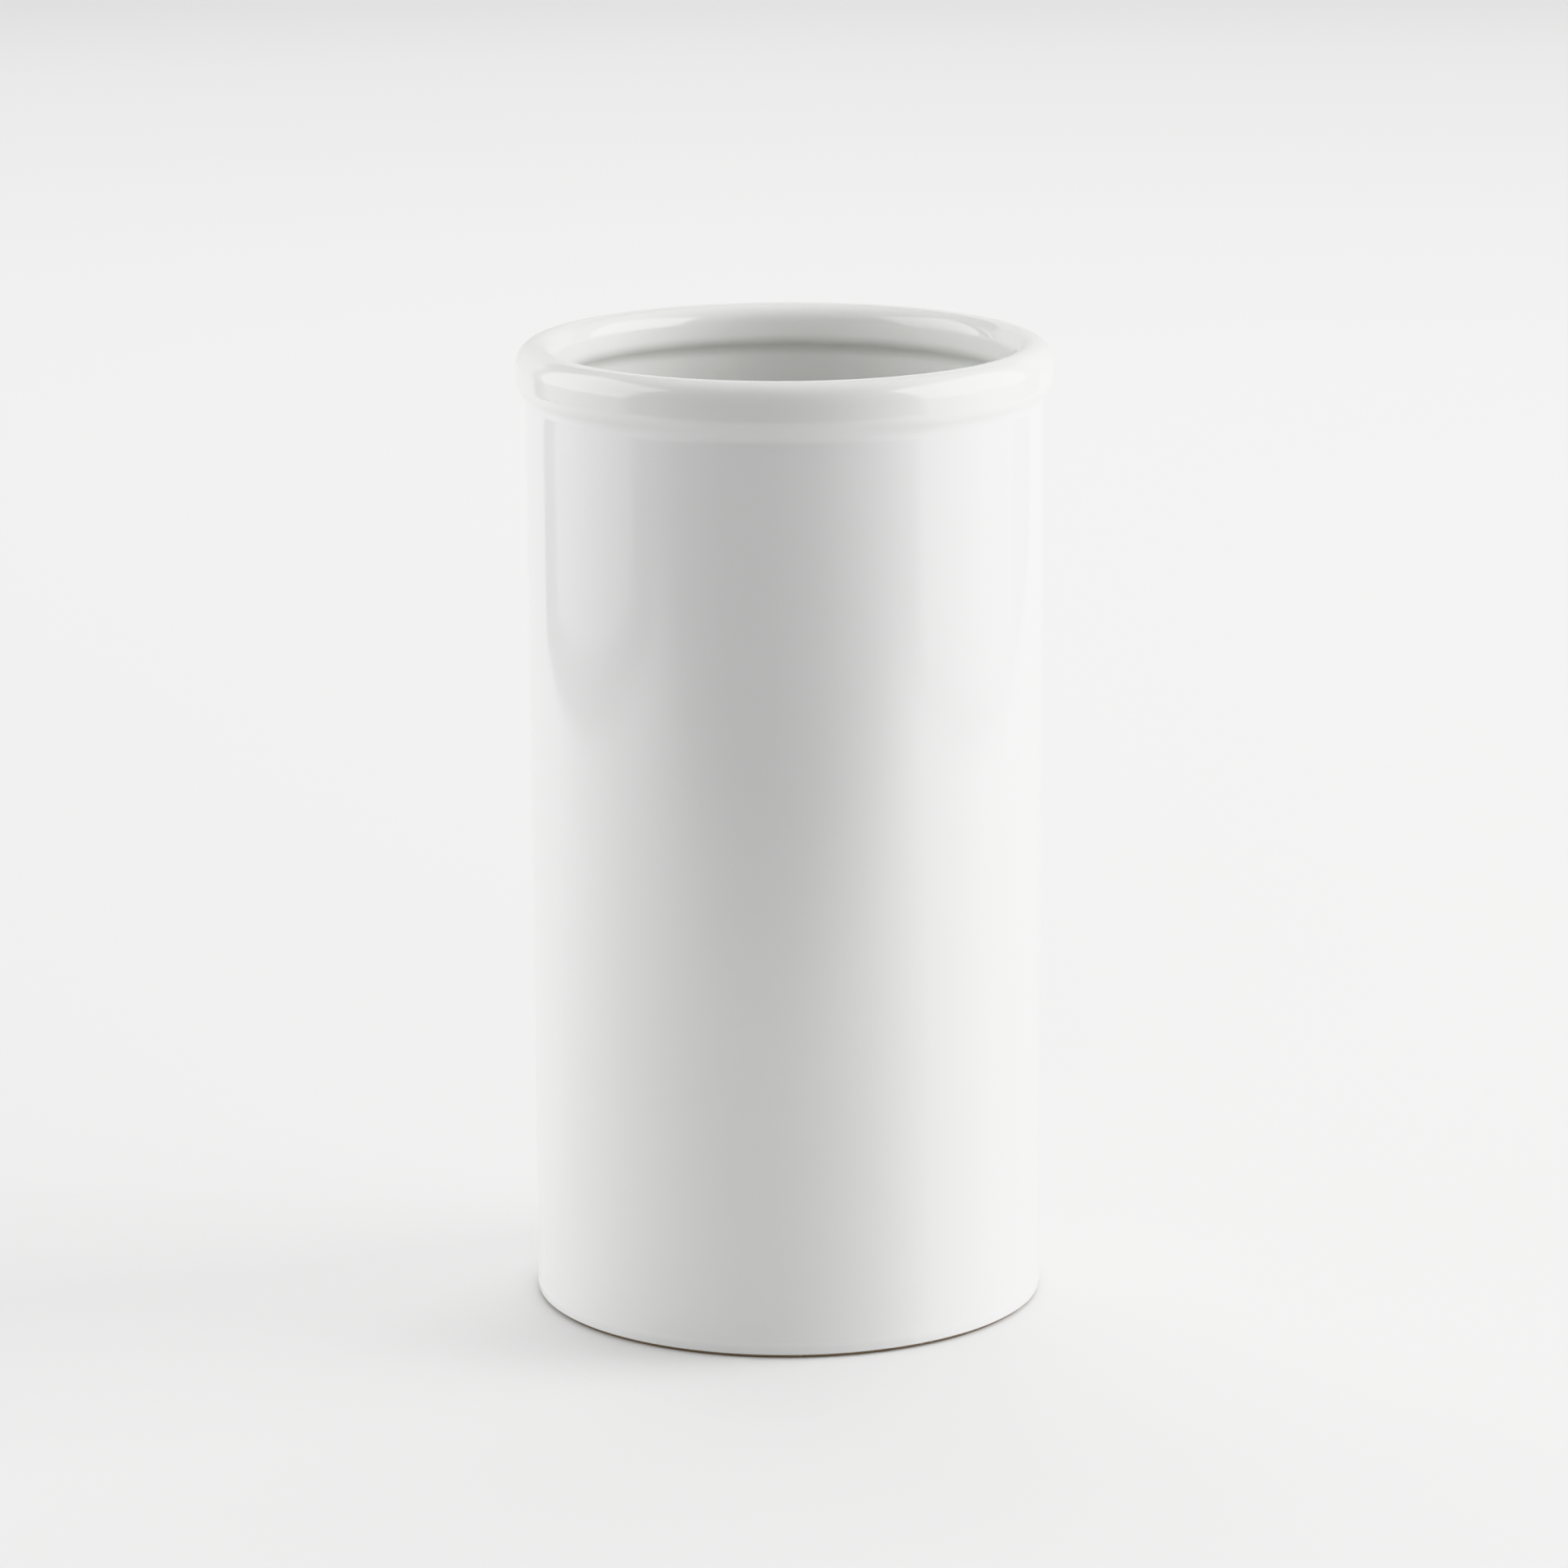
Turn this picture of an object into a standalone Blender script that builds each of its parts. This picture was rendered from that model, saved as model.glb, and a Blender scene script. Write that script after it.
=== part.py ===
"""A white glazed ceramic cylinder vase, in metres, standing on z = 0 about the Z axis.

One fired clay body carries three fused coats of glaze. All of them are turned from one outline of
the finished surface: the coats lie just under it, and the clay lies under the coats.
"""

import math
from typing import NamedTuple

import bpy

# Overall form of the finished, glazed vase
HEIGHT = 0.200
BODY_RADIUS = 0.0529
WALL_DRAFT = math.radians(0.11)
WALL = 0.0043
FLOOR = 0.0062
FLOOR_FILLET = 0.0090

# Rolled rim: a collar outside, a lip inside, and the hollows that ease both into the wall
RIM_PROUD = 0.0019
RIM_FACE = 0.0026
COVE_HEIGHT = 0.0057
LIP_OUTER_ROUND = 0.0043
LIP_OVERHANG = 0.0019
LIP_FACE = 0.0024
UNDERCUT_HEIGHT = 0.0048

# Bare foot ring and the recess inside it
GLAZE_LINE = 0.0008
FOOT_RING = 0.0062
FOOT_BEVEL = 0.0006
FOOT_RECESS = 0.0034
RECESS_FILLET = 0.0015

# Coats: their thickness, and the seam left between a coat and what it lies against
GLAZE = 0.0005
SEAM = 0.0003
COAT_DEPTH = GLAZE + SEAM

# Facets round the axis, steps along each quarter turn of an outline, and the least along any arc
FACETS = 64
QUARTER_STEPS = 5
LEAST_STEPS = 2
AXIS_MERGE = 0.000001

# How strongly, on a scale to 100, a broad face outweighs a small one in the shading of their shared edge
BROAD_FACE_WEIGHT = 90

# Finishes: colour and roughness of the clay and of each coat
CLAY_COLOUR = (0.56, 0.44, 0.31)
CLAY_ROUGHNESS = 0.85
OUTER_COLOUR = (0.84, 0.84, 0.82)
OUTER_ROUGHNESS = 0.12
LINER_COLOUR = (0.82, 0.82, 0.79)
LINER_ROUGHNESS = 0.14
UNDERSIDE_COLOUR = (0.80, 0.79, 0.76)
UNDERSIDE_ROUGHNESS = 0.20

# Levels and radii that follow from the sizes above
COLLAR_RADIUS = BODY_RADIUS + RIM_PROUD
COLLAR_TOP = HEIGHT - LIP_OUTER_ROUND
COLLAR_BOTTOM = COLLAR_TOP - RIM_FACE
WALL_TOP = COLLAR_BOTTOM - COVE_HEIGHT
INNER_RADIUS = BODY_RADIUS - WALL
MOUTH_RADIUS = INNER_RADIUS - LIP_OVERHANG
CREST_RADIUS = COLLAR_RADIUS - LIP_OUTER_ROUND
LIP_INNER_ROUND = CREST_RADIUS - MOUTH_RADIUS
LIP_TOP = HEIGHT - LIP_INNER_ROUND
LIP_BOTTOM = LIP_TOP - LIP_FACE
INNER_WALL_TOP = LIP_BOTTOM - UNDERCUT_HEIGHT
FLOOR_LEVEL = FOOT_RECESS + FLOOR


class Spot(NamedTuple):
    """A point of an outline, with the direction in which the finished surface faces there."""

    radius: float
    height: float
    out: float
    up: float


def drafted(radius: float, top: float, height: float) -> float:
    """Radius, at a height below the top, of a wall that draws in downwards."""
    return radius - (top - height) * math.tan(WALL_DRAFT)


def arc(
    radius: float, height: float, bend: float, start: float, end: float, hollow: bool = False
) -> list[Spot]:
    """Spots along an arc about a centre, between two angles in degrees, facing out or, if hollow, in."""
    steps = max(LEAST_STEPS, round(QUARTER_STEPS * abs(end - start) / 90.0))
    facing = -1.0 if hollow else 1.0
    spots = []
    for step in range(steps + 1):
        angle = math.radians(start + (end - start) * step / steps)
        out = math.cos(angle)
        up = math.sin(angle)
        spots.append(Spot(radius + bend * out, height + bend * up, facing * out, facing * up))
    return spots


def ease(upper: float, lower: float, top: float, drop: float) -> tuple[list[Spot], list[Spot]]:
    """A swell and a hollow, both running down, that ease one upright face into another below it.

    The upper face stands proud of the lower one: outwards on the outside, inwards on the inside.
    """
    turn = 2.0 * math.atan(abs(upper - lower) / drop)
    bend = drop / (2.0 * math.sin(turn))
    turn = math.degrees(turn)
    if upper > lower:
        swell = arc(upper - bend, top, bend, 0.0, -turn)
        hollow = arc(lower + bend, top - drop, bend, 180.0 - turn, 180.0, hollow=True)
    else:
        swell = arc(upper + bend, top, bend, 180.0, 180.0 + turn)
        hollow = arc(lower - bend, top - drop, bend, turn, 0.0, hollow=True)
    return swell, hollow


def inset(spots: list[Spot], depth: float) -> list[Spot]:
    """The parallel outline that lies at a depth under the finished surface."""
    return [
        Spot(spot.radius - depth * spot.out, spot.height - depth * spot.up, spot.out, spot.up)
        for spot in spots
    ]


def shortened(spots: list[Spot], length: float) -> list[Spot]:
    """The outline with a length taken off its last stretch."""
    kept = list(spots)
    last = kept.pop()
    reach = math.dist(kept[-1][:2], last[:2])
    while reach <= length:
        length -= reach
        last = kept.pop()
        reach = math.dist(kept[-1][:2], last[:2])
    share = 1.0 - length / reach
    kept.append(Spot(*(a + (b - a) * share for a, b in zip(kept[-1], last))))
    return kept


def liner_outline() -> tuple[list[Spot], list[Spot]]:
    """The inside, from the floor's centre up to the lip, and the lip's swell from there to its face."""
    swell, hollow = ease(MOUTH_RADIUS, INNER_RADIUS, LIP_BOTTOM, UNDERCUT_HEIGHT)
    fillet_top = FLOOR_LEVEL + FLOOR_FILLET
    fillet_centre = drafted(INNER_RADIUS, INNER_WALL_TOP, fillet_top) - FLOOR_FILLET
    floor = [Spot(0.0, FLOOR_LEVEL, 0.0, 1.0)]
    fillet = arc(fillet_centre, fillet_top, FLOOR_FILLET, -90.0, 0.0, hollow=True)
    return floor + fillet + hollow[::-1], swell[::-1]


def outer_outline(lip_swell: list[Spot]) -> list[Spot]:
    """The outside, from under the lip over the rim, down the collar and the wall to the glaze line."""
    lip_round = arc(CREST_RADIUS, LIP_TOP, LIP_INNER_ROUND, 180.0, 90.0)
    collar_round = arc(CREST_RADIUS, COLLAR_TOP, LIP_OUTER_ROUND, 90.0, 0.0)[1:]
    swell, hollow = ease(COLLAR_RADIUS, BODY_RADIUS, COLLAR_BOTTOM, COVE_HEIGHT)
    foot_radius = drafted(BODY_RADIUS, WALL_TOP, GLAZE_LINE)
    glaze_line = [Spot(foot_radius, GLAZE_LINE, math.cos(WALL_DRAFT), -math.sin(WALL_DRAFT))]
    return lip_swell + lip_round + collar_round + swell + hollow[1:] + glaze_line


def foot_outline(wall_radius: float) -> tuple[list[Spot], float]:
    """The bare clay foot ring under the wall, and the radius of the clay inside it."""
    recess_radius = wall_radius - FOOT_RING
    ring = [
        Spot(wall_radius, FOOT_BEVEL, 1.0, 0.0),
        Spot(wall_radius - FOOT_BEVEL, 0.0, 0.0, -1.0),
        Spot(recess_radius + FOOT_BEVEL, 0.0, 0.0, -1.0),
        Spot(recess_radius, FOOT_BEVEL, -1.0, 0.0),
    ]
    return ring, recess_radius


def underside_outline(recess_radius: float) -> list[Spot]:
    """The glazed recess, from the side of the foot ring round its fillet to the centre."""
    fillet_radius = recess_radius - COAT_DEPTH - RECESS_FILLET
    fillet = arc(fillet_radius, FOOT_RECESS - RECESS_FILLET, RECESS_FILLET, 0.0, 90.0, hollow=True)
    return fillet + [Spot(0.0, FOOT_RECESS, 0.0, -1.0)]


def clear_scene() -> None:
    """Remove every object in the scene."""
    for old in list(bpy.data.objects):
        bpy.data.objects.remove(old, do_unlink=True)


def finish(name: str, colour: tuple[float, float, float], roughness: float) -> bpy.types.Material:
    """A plain material of one colour and roughness."""
    material = bpy.data.materials.new(name)
    material.use_nodes = True
    shader = material.node_tree.nodes["Principled BSDF"]
    shader.inputs["Base Color"].default_value = (*colour, 1.0)
    shader.inputs["Roughness"].default_value = roughness
    shader.inputs["Metallic"].default_value = 0.0
    material.diffuse_color = (*colour, 1.0)
    return material


def turn_profile(name: str, spots: list[Spot], material: bpy.types.Material) -> bpy.types.Object:
    """An object with the outline as its profile at +X, turned once round the axis."""
    points = [(spot.radius, 0.0, spot.height) for spot in spots]
    edges = [(index, index + 1) for index in range(len(points) - 1)]
    mesh = bpy.data.meshes.new(name)
    mesh.from_pydata(points, edges, [])
    mesh.materials.append(material)
    turned = bpy.data.objects.new(name, mesh)
    screw = turned.modifiers.new("turning", "SCREW")
    screw.axis = "Z"
    screw.angle = 2.0 * math.pi
    screw.steps = FACETS
    screw.render_steps = FACETS
    screw.use_smooth_shade = True
    screw.use_merge_vertices = True
    screw.merge_threshold = AXIS_MERGE
    return turned


def coat(name: str, spots: list[Spot], material: bpy.types.Material) -> bpy.types.Object:
    """A coat of glaze whose finished surface is the turned outline."""
    skin = turn_profile(name, spots, material)
    thickness = skin.modifiers.new("glaze_thickness", "SOLIDIFY")
    thickness.thickness = GLAZE
    thickness.offset = -1.0
    thickness.use_even_offset = True
    return skin


def shade_by_area(piece: bpy.types.Object) -> None:
    """Let the broad faces set the shading, so that the long wall reads straight beside its small edges."""
    shading = piece.modifiers.new("shading_by_area", "WEIGHTED_NORMAL")
    shading.mode = "FACE_AREA"
    shading.weight = BROAD_FACE_WEIGHT


def build() -> None:
    """Build the vase's four pieces under one empty on its axis."""
    clear_scene()
    vase = bpy.data.collections.new("ceramic_cylinder_vase")
    bpy.context.scene.collection.children.link(vase)
    stand = bpy.data.objects.new("vase_axis", None)
    vase.objects.link(stand)

    inside, lip_swell = liner_outline()
    outside = outer_outline(lip_swell)
    clay_upper = inset(inside + outside[1:], COAT_DEPTH)
    foot_ring, recess_radius = foot_outline(clay_upper[-1].radius)
    underside = underside_outline(recess_radius)
    clay = clay_upper + foot_ring + inset(underside, COAT_DEPTH)

    buff_clay = finish("buff_clay", CLAY_COLOUR, CLAY_ROUGHNESS)
    white_glaze = finish("white_glaze", OUTER_COLOUR, OUTER_ROUGHNESS)
    liner_white = finish("liner_white_glaze", LINER_COLOUR, LINER_ROUGHNESS)
    underside_white = finish("underside_white_glaze", UNDERSIDE_COLOUR, UNDERSIDE_ROUGHNESS)
    pieces = [
        turn_profile("clay_body", clay, buff_clay),
        coat("outer_glaze", outside, white_glaze),
        coat("liner_glaze", shortened(inside, SEAM), liner_white),
        coat("underside_glaze", underside, underside_white),
    ]
    for piece in pieces:
        shade_by_area(piece)
        vase.objects.link(piece)
        piece.parent = stand


build()
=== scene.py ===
"""Looks of a white glazed ceramic cylinder vase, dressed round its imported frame, in metres.

Four turned pieces take the place of the frame's solids: the fired clay body and its three coats of
glaze. One Geometry Nodes tree spins each of them from an outline of the finished surface. A pale floor
and soft panels make the studio round them.
"""

import logging
import math
from collections.abc import Sequence
from dataclasses import dataclass, replace
from enum import Enum

import bpy
from mathutils import Euler, Matrix, Vector


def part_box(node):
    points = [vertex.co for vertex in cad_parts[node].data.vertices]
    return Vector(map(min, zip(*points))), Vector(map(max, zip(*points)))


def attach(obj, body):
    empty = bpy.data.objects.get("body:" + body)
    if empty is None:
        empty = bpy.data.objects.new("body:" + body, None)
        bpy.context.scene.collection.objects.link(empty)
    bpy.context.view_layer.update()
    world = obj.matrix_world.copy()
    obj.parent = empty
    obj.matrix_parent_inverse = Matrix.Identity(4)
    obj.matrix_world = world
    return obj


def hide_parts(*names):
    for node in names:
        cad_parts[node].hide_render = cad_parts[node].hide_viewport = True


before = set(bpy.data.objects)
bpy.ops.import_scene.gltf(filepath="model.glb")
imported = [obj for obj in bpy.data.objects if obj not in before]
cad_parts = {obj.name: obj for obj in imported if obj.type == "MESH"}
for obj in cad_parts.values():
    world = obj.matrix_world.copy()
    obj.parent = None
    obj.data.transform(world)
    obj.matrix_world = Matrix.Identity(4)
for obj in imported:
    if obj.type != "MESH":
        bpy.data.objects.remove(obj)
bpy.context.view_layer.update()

LOG = logging.getLogger("vase")
VASE_BODY = "root"
POOL = "pool"
AXIS_MERGE = 0.000001
# Sockets of a Mix node that mixes colours
FIRST_COLOUR = 6
SECOND_COLOUR = 7
MIXED_COLOUR = 2
Colour = tuple[float, float, float]
Place = tuple[float, float, float]


class Bend(Enum):
    """Which way a rounded stretch of an outline curves; the value turns its faces out or in."""

    SWELL = 1.0
    HOLLOW = -1.0


class Edge(Enum):
    """How a coat of glaze ends."""

    AXIS = "closes on the axis"
    BUTT = "runs into the next coat"
    BEAD = "stops on bare clay in a rounded bead"


class Lights(Enum):
    """What a lamp lights, and whether the glaze mirrors it."""

    UNMIRRORED = "the vase and the floor, and the glaze does not mirror it"
    MIRRORED_ONLY = "nothing, and the glaze mirrors it"
    VASE_ONLY = "the vase alone, and the glaze mirrors it"
    FLOOR_ONLY = "the floor alone"
    FLOOR_UNSHADED = "the floor alone, without shadows"


@dataclass(frozen=True)
class Spot:
    """A point of an outline.

    Attributes:
        radius: Distance from the axis.
        height: Height above the table.
        out: Outward part of the direction in which the finished surface faces.
        up: Upward part of that direction.
        pool: How glaze lies there: above 0 it gathers in a hollow, below 0 it breaks thin on an edge.
    """

    radius: float
    height: float
    out: float
    up: float
    pool: float = 0.0

    def moved(self, depth: float) -> "Spot":
        """The spot at a depth under the finished surface."""
        return replace(self, radius=self.radius - depth * self.out, height=self.height - depth * self.up)

    def gap(self, other: "Spot") -> float:
        """Distance to another spot."""
        return math.hypot(other.radius - self.radius, other.height - self.height)

    def toward(self, other: "Spot", share: float) -> "Spot":
        """The spot at a share of the way to another one."""
        return Spot(
            self.radius + (other.radius - self.radius) * share,
            self.height + (other.height - self.height) * share,
            self.out + (other.out - self.out) * share,
            self.up + (other.up - self.up) * share,
            self.pool + (other.pool - self.pool) * share,
        )


@dataclass(frozen=True)
class Outliner:
    """Draws outlines with even steps.

    Attributes:
        round_step: Widest step round a bend, in degrees.
        run_step: Longest step along a straight run.
        sharp_bend: Radius of a bend on which glaze breaks thin, or in which it gathers, most.
        least_steps: Fewest steps round a bend.
        spare: Share of a step by which a run may be too long for its steps.
    """

    round_step: float = 5.0
    run_step: float = 0.003
    sharp_bend: float = 0.0035
    least_steps: int = 2
    spare: float = 0.001

    def arc(self, radius: float, height: float, bend: float, start: float, end: float,
            way: Bend = Bend.SWELL) -> list[Spot]:
        """Spots round a centre.

        Args:
            radius: The centre's distance from the axis.
            height: The centre's height.
            bend: Radius of the arc.
            start: First angle, in degrees above the outward direction.
            end: Last angle.
            way: Whether the finished surface is outside the arc or inside it.

        Returns:
            The spots from the first angle to the last.
        """
        steps = max(self.least_steps, math.ceil(abs(end - start) / self.round_step))
        face = way.value
        pool = -face * min(1.0, self.sharp_bend / bend)
        spots = []
        for step in range(steps + 1):
            angle = math.radians(start + (end - start) * step / steps)
            out = math.cos(angle)
            up = math.sin(angle)
            spots.append(Spot(radius + bend * out, height + bend * up, face * out, face * up, pool))
        return spots

    def ease(self, upper: float, lower: float, top: float, drop: float) -> tuple[list[Spot], list[Spot]]:
        """Ease one upright face into another below it, by a swell and then a hollow.

        Args:
            upper: Radius of the upper face, which stands proud of the lower one.
            lower: Radius of the lower face.
            top: Height at which the swell starts.
            drop: Height of the swell and the hollow together.

        Returns:
            The swell and the hollow, both running down.
        """
        turn = 2.0 * math.atan(abs(upper - lower) / drop)
        bend = drop / (2.0 * math.sin(turn))
        turn = math.degrees(turn)
        if upper > lower:
            swell = self.arc(upper - bend, top, bend, 0.0, -turn)
            hollow = self.arc(lower + bend, top - drop, bend, 180.0 - turn, 180.0, Bend.HOLLOW)
        else:
            swell = self.arc(upper + bend, top, bend, 180.0, 180.0 + turn)
            hollow = self.arc(lower - bend, top - drop, bend, turn, 0.0, Bend.HOLLOW)
        return swell, hollow

    def joined(self, stretches: Sequence[list[Spot]]) -> list[Spot]:
        """Join stretches end to end, with straight runs between them.

        Args:
            stretches: Stretches of an outline, in order.

        Returns:
            One outline, with no spot twice.
        """
        outline = list(stretches[0])
        for stretch in stretches[1:]:
            last = outline[-1]
            first = stretch[0]
            steps = math.ceil(last.gap(first) / self.run_step - self.spare)
            outline += [last.toward(first, step / steps) for step in range(1, steps)]
            outline += stretch if steps else stretch[1:]
        return outline


@dataclass(frozen=True)
class VaseForm:
    """Sizes of the finished vase, and the outlines that follow from them.

    The frame gives the first five; the rest are its rounds, hollows, wall and coats. A coat reaches down
    to the clay but for the hair.
    """

    height: float
    collar_radius: float
    glaze_line: float
    floor_level: float
    recess_level: float
    wall_draft: float = math.radians(0.11)
    wall: float = 0.0043
    floor_fillet: float = 0.0090
    rim_proud: float = 0.0019
    rim_face: float = 0.0026
    cove_height: float = 0.0057
    lip_outer_round: float = 0.0043
    lip_overhang: float = 0.0019
    lip_face: float = 0.0024
    undercut_height: float = 0.0048
    foot_ring: float = 0.0062
    foot_round: float = 0.0006
    recess_fillet: float = 0.0015
    glaze: float = 0.0005
    coat_depth: float = 0.0008
    hair: float = 0.00002
    pen: Outliner = Outliner()

    @classmethod
    def from_frame(cls) -> "VaseForm":
        """Take the main sizes from the frame's solids."""
        outer_low, outer_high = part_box("outer_glaze")
        liner_low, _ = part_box("liner_glaze")
        _, underside_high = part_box("underside_glaze")
        return cls(
            height=outer_high.z,
            collar_radius=outer_high.x,
            glaze_line=outer_low.z,
            floor_level=liner_low.z + cls.glaze,
            recess_level=underside_high.z - cls.glaze,
        )

    @property
    def body_radius(self) -> float:
        """Radius of the wall under the rim."""
        return self.collar_radius - self.rim_proud

    @property
    def inner_radius(self) -> float:
        """Radius inside the wall under the lip."""
        return self.body_radius - self.wall

    def drafted(self, radius: float, top: float, height: float) -> float:
        """Radius, at a height below the top, of a wall that draws in downwards."""
        return radius - (top - height) * math.tan(self.wall_draft)

    def crest(self) -> tuple[float, float, float]:
        """The crest's radius, the mouth's radius and the radius of the round between them."""
        crest_radius = self.collar_radius - self.lip_outer_round
        mouth_radius = self.inner_radius - self.lip_overhang
        return crest_radius, mouth_radius, crest_radius - mouth_radius

    def lip_ease(self) -> tuple[list[Spot], list[Spot]]:
        """The swell and the hollow under the lip, both running down."""
        _, mouth_radius, lip_round = self.crest()
        lip_bottom = self.height - lip_round - self.lip_face
        return self.pen.ease(mouth_radius, self.inner_radius, lip_bottom, self.undercut_height)

    def inside(self) -> list[Spot]:
        """The inside, from the floor's centre up to the middle of the undercut."""
        _, hollow = self.lip_ease()
        fillet_top = self.floor_level + self.floor_fillet
        fillet_centre = self.drafted(self.inner_radius, hollow[-1].height, fillet_top) - self.floor_fillet
        floor = [Spot(0.0, self.floor_level, 0.0, 1.0)]
        fillet = self.pen.arc(fillet_centre, fillet_top, self.floor_fillet, -90.0, 0.0, Bend.HOLLOW)
        return self.pen.joined([floor, fillet, hollow[::-1]])

    def outside(self) -> list[Spot]:
        """The outside, from the undercut over the rim and down the wall to the glaze line."""
        crest_radius, _, lip_round = self.crest()
        lip_swell, _ = self.lip_ease()
        lip = self.pen.arc(crest_radius, self.height - lip_round, lip_round, 180.0, 90.0)
        collar_top = self.height - self.lip_outer_round
        collar = self.pen.arc(crest_radius, collar_top, self.lip_outer_round, 90.0, 0.0)
        collar_bottom = collar_top - self.rim_face
        swell, hollow = self.pen.ease(self.collar_radius, self.body_radius, collar_bottom, self.cove_height)
        foot_radius = self.drafted(self.body_radius, hollow[-1].height, self.glaze_line)
        foot = [Spot(foot_radius, self.glaze_line, math.cos(self.wall_draft), -math.sin(self.wall_draft))]
        return self.pen.joined([lip_swell[::-1], lip, collar, swell, hollow, foot])

    def foot(self) -> list[Spot]:
        """The bare foot ring, from the clay under the glaze line to the recess."""
        outer = self.outside()[-1].moved(self.coat_depth).radius
        inner = outer - self.foot_ring
        bend = self.foot_round
        outer_edge = self.pen.arc(outer - bend, bend, bend, 0.0, -90.0)
        inner_edge = self.pen.arc(inner + bend, bend, bend, -90.0, -180.0)
        return self.pen.joined([outer_edge, inner_edge])

    def underside(self) -> list[Spot]:
        """The glazed recess, from the side of the foot ring round its fillet to the centre."""
        bend = self.recess_fillet
        fillet_radius = self.foot()[-1].radius - self.coat_depth - bend
        fillet = self.pen.arc(fillet_radius, self.recess_level - bend, bend, 0.0, 90.0, Bend.HOLLOW)
        return self.pen.joined([fillet, [Spot(0.0, self.recess_level, 0.0, -1.0)]])


class NodeSheet:
    """A node tree being drawn up, with short calls that add and join its nodes."""

    def __init__(self, tree: bpy.types.NodeTree) -> None:
        """Keep the tree to draw on."""
        self.tree = tree

    def take(self, name: str, kind: str, value: object = None) -> None:
        """Add a named input to the tree's interface.

        Args:
            name: The input's name.
            kind: Its socket type, without the common prefix.
            value: Its default, where it has one.
        """
        socket = self.tree.interface.new_socket(name, in_out="INPUT", socket_type="NodeSocket" + kind)
        if value is not None:
            socket.default_value = value

    def give(self, name: str, kind: str) -> None:
        """Add a named output to the tree's interface."""
        self.tree.interface.new_socket(name, in_out="OUTPUT", socket_type="NodeSocket" + kind)

    def feed(self, socket: bpy.types.NodeSocket, value: object) -> None:
        """Link a socket to another, or set its value."""
        if isinstance(value, bpy.types.NodeSocket):
            self.tree.links.new(value, socket)
        else:
            socket.default_value = value

    def add(self, kind: str, inputs: dict[str | int, object] | None = None,
            **settings: object) -> bpy.types.Node:
        """Add a node.

        Args:
            kind: The node's type.
            inputs: What feeds its sockets, by socket name or number.
            settings: Its own properties.

        Returns:
            The new node.
        """
        node = self.tree.nodes.new(kind)
        for name, value in settings.items():
            setattr(node, name, value)
        for key, value in (inputs or {}).items():
            self.feed(node.inputs[key], value)
        return node

    def sum(self, operation: str, *values: object) -> bpy.types.NodeSocket:
        """The result of a Math node."""
        return self.add("ShaderNodeMath", dict(enumerate(values)), operation=operation).outputs[0]

    def whole(self, operation: str, *values: object) -> bpy.types.NodeSocket:
        """The result of an Integer Math node."""
        return self.add("FunctionNodeIntegerMath", dict(enumerate(values)), operation=operation).outputs[0]

    def mix(self, share: object, first: object, second: object) -> bpy.types.NodeSocket:
        """A colour mixed from two."""
        node = self.add("ShaderNodeMix", data_type="RGBA")
        self.feed(node.inputs["Factor"], share)
        for key, value in ((FIRST_COLOUR, first), (SECOND_COLOUR, second)):
            self.feed(node.inputs[key], (*value, 1.0) if isinstance(value, tuple) else value)
        return node.outputs[MIXED_COLOUR]

    def span(self, value: object, low: float, high: float,
             first: float, last: float) -> bpy.types.NodeSocket:
        """A value eased from one range to another, and held at its ends."""
        ends = {"Value": value, "From Min": low, "From Max": high, "To Min": first, "To Max": last}
        return self.add("ShaderNodeMapRange", ends, interpolation_type="SMOOTHSTEP").outputs["Result"]


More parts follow.
